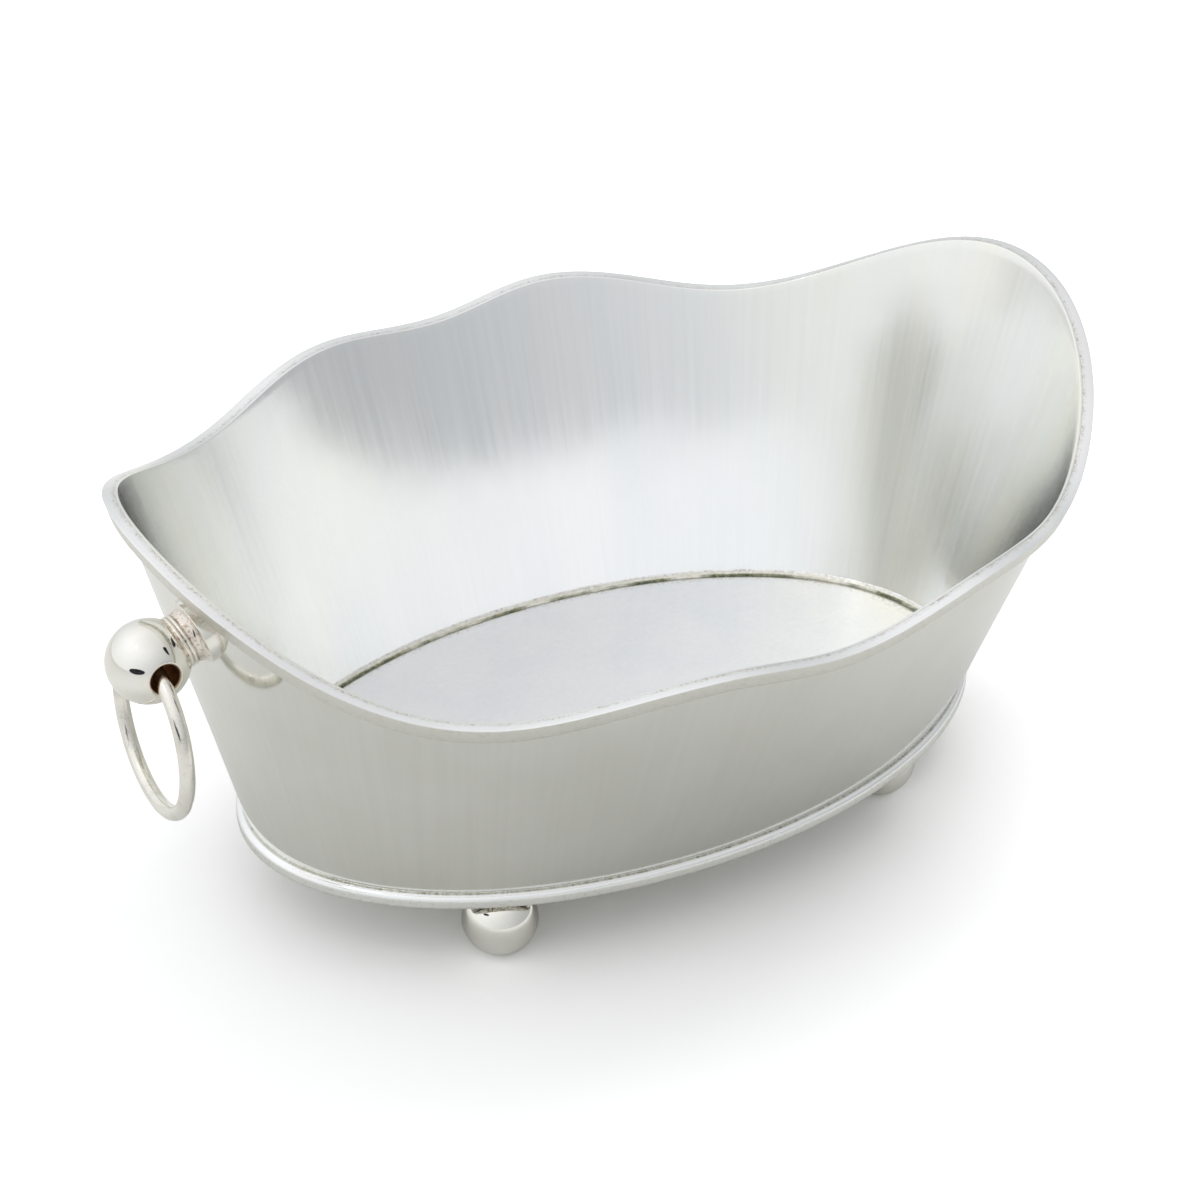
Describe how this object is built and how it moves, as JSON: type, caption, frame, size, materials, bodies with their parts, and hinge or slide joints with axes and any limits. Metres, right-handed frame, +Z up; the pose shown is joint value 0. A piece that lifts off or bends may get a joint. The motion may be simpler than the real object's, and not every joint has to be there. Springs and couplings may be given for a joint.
{
  "type": "champagne bucket",
  "caption": "Oval flared silver tub with a waved, banded rim, a banded foot, ball feet and loose ring handles hung from bored ball knobs at the ends.",
  "frame": {"origin": "on the ground under the middle of the bucket", "axes": "+X along the long axis, towards the end crest of the rim on the right; +Y to the back; +Z up"},
  "size_m": [0.4164, 0.2785, 0.1732],
  "materials": {
    "satin_silver": "silver plate on brass sheet, satin from polishing",
    "band_silver": "silver plate on brass strip, bright and lightly brushed",
    "polished_silver": "silver plate on turned brass, mirror polished",
    "wire_silver": "silver plate on brass wire, polished with light rubbing marks",
    "solder": "plated solder line with dark tarnish in its corners"
  },
  "bodies": {
    "tub": {"tub_wall": "satin_silver", "rim_band": "band_silver", "base_band": "band_silver", "floor_solder_bead": "solder", "floor_plate": "satin_silver", "foot_left_front": "polished_silver", "foot_left_back": "polished_silver", "foot_right_front": "polished_silver", "foot_right_back": "polished_silver", "left_wall_collar": "polished_silver", "left_neck_ring": "polished_silver", "left_ball_knob": "polished_silver", "right_wall_collar": "polished_silver", "right_neck_ring": "polished_silver", "right_ball_knob": "polished_silver"},
    "left_ring": {"left_ring": "wire_silver"},
    "right_ring": {"right_ring": "wire_silver"}
  },
  "joints": [
    {"name": "left_ring_swing", "type": "hinge", "parent": "tub", "child": "left_ring", "pos_m": [-0.194, -0.017, 0.1316], "axis": [0, 1, 0], "range_deg": [-29, 184]},
    {"name": "right_ring_swing", "type": "hinge", "parent": "tub", "child": "right_ring", "pos_m": [0.194, 0, 0.1265], "axis": [0, -1, 0], "range_deg": [-30, 180]}
  ]
}
